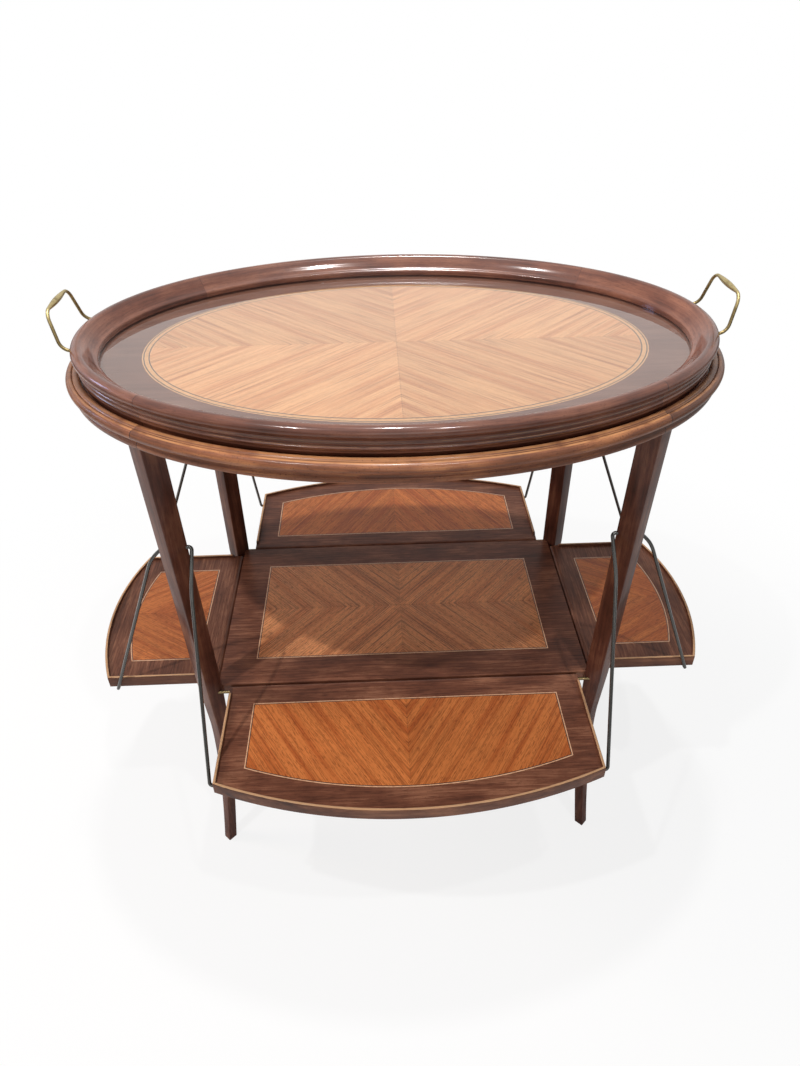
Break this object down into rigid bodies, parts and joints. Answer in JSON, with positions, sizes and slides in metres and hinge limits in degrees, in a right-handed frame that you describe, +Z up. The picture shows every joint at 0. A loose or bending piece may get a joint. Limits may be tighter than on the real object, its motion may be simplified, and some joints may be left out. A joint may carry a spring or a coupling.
{
  "type": "folding tea table",
  "caption": "Oval tea table: a handled, inlaid tray lifts off a moulded oval frame on swept legs, above a shelf whose fold-up leaves rest on hinged wire stays.",
  "frame": {"origin": "on the floor, under the middle of the table", "axes": "+Z up, +X along the tray's long axis, -Y towards the front of the table"},
  "size_m": [0.847, 0.693, 0.7974],
  "materials": {
    "mahogany": "French-polished",
    "mahogany_veneer": "French-polished",
    "satinwood": "French-polished",
    "boxwood": "French-polished",
    "ebonised_wood": "French-polished",
    "brass": "polished, a little worn",
    "bronzed_wire": "dark, worn",
    "glass": "clear"
  },
  "bodies": {
    "frame": {"frame_rail_front": "mahogany", "frame_rail_back": "mahogany", "frame_rail_left": "mahogany", "frame_rail_right": "mahogany", "frame_dowels": "boxwood", "top_board": "mahogany_veneer", "leg_front_left": "mahogany", "leg_front_right": "mahogany", "leg_back_left": "mahogany", "leg_back_right": "mahogany", "shelf_board": "mahogany_veneer", "shelf_field": "satinwood", "shelf_light_line": "boxwood", "shelf_dark_line": "ebonised_wood"},
    "tray": {"tray_rim_front": "mahogany", "tray_rim_back": "mahogany", "tray_rim_left": "mahogany", "tray_rim_right": "mahogany", "tray_dowels": "boxwood", "tray_board": "mahogany_veneer", "tray_border": "mahogany_veneer", "tray_field": "satinwood", "tray_light_lines": "boxwood", "tray_dark_lines": "ebonised_wood", "tray_glass": "glass", "handle_left": "brass", "handle_right": "brass"},
    "front_leaf": {"front_leaf_board": "mahogany_veneer", "front_leaf_lip": "mahogany", "front_leaf_field": "satinwood", "front_leaf_light_line": "boxwood", "front_leaf_dark_line": "ebonised_wood", "front_leaf_pin_left": "brass", "front_leaf_pin_right": "brass"},
    "front_stay": {"front_stay_wire": "bronzed_wire"},
    "back_leaf": {"back_leaf_board": "mahogany_veneer", "back_leaf_lip": "mahogany", "back_leaf_field": "satinwood", "back_leaf_light_line": "boxwood", "back_leaf_dark_line": "ebonised_wood", "back_leaf_pin_left": "brass", "back_leaf_pin_right": "brass"},
    "back_stay": {"back_stay_wire": "bronzed_wire"},
    "left_leaf": {"left_leaf_board": "mahogany_veneer", "left_leaf_lip": "mahogany", "left_leaf_field": "satinwood", "left_leaf_light_line": "boxwood", "left_leaf_dark_line": "ebonised_wood", "left_leaf_pin_front": "brass", "left_leaf_pin_back": "brass"},
    "left_stay": {"left_stay_wire": "bronzed_wire"},
    "right_leaf": {"right_leaf_board": "mahogany_veneer", "right_leaf_lip": "mahogany", "right_leaf_field": "satinwood", "right_leaf_light_line": "boxwood", "right_leaf_dark_line": "ebonised_wood", "right_leaf_pin_front": "brass", "right_leaf_pin_back": "brass"},
    "right_stay": {"right_stay_wire": "bronzed_wire"}
  },
  "joints": [
    {"name": "tray_lift", "type": "slide", "parent": "frame", "child": "tray", "axis": [0, 0, 1], "range_m": [0, 0.15]},
    {"name": "front_leaf_hinge", "type": "hinge", "parent": "frame", "child": "front_leaf", "pos_m": [0, -0.1521, 0.3155], "axis": [-1, 0, 0], "range_deg": [0, 92]},
    {"name": "back_leaf_hinge", "type": "hinge", "parent": "frame", "child": "back_leaf", "pos_m": [0, 0.1521, 0.3155], "axis": [1, 0, 0], "range_deg": [0, 92]},
    {"name": "left_leaf_hinge", "type": "hinge", "parent": "frame", "child": "left_leaf", "pos_m": [-0.2545, 0, 0.3155], "axis": [0, 1, 0], "range_deg": [0, 92]},
    {"name": "right_leaf_hinge", "type": "hinge", "parent": "frame", "child": "right_leaf", "pos_m": [0.2545, 0, 0.3155], "axis": [0, -1, 0], "range_deg": [0, 92]},
    {"name": "front_stay_pivot", "type": "hinge", "parent": "frame", "child": "front_stay", "pos_m": [0, -0.15753, 0.565], "axis": [-1, 0, 0], "range_deg": [-27, 0]},
    {"name": "back_stay_pivot", "type": "hinge", "parent": "frame", "child": "back_stay", "pos_m": [0, 0.15753, 0.565], "axis": [1, 0, 0], "range_deg": [-27, 0]},
    {"name": "left_stay_pivot", "type": "hinge", "parent": "frame", "child": "left_stay", "pos_m": [-0.25984, 0, 0.565], "axis": [0, 1, 0], "range_deg": [-25, 0]},
    {"name": "right_stay_pivot", "type": "hinge", "parent": "frame", "child": "right_stay", "pos_m": [0.25984, 0, 0.565], "axis": [0, -1, 0], "range_deg": [-25, 0]}
  ],
  "couplings": [
    {"joint": "front_stay_pivot", "follows": "front_leaf_hinge", "ratio": -0.29},
    {"joint": "back_stay_pivot", "follows": "back_leaf_hinge", "ratio": -0.29},
    {"joint": "left_stay_pivot", "follows": "left_leaf_hinge", "ratio": -0.27},
    {"joint": "right_stay_pivot", "follows": "right_leaf_hinge", "ratio": -0.27}
  ]
}
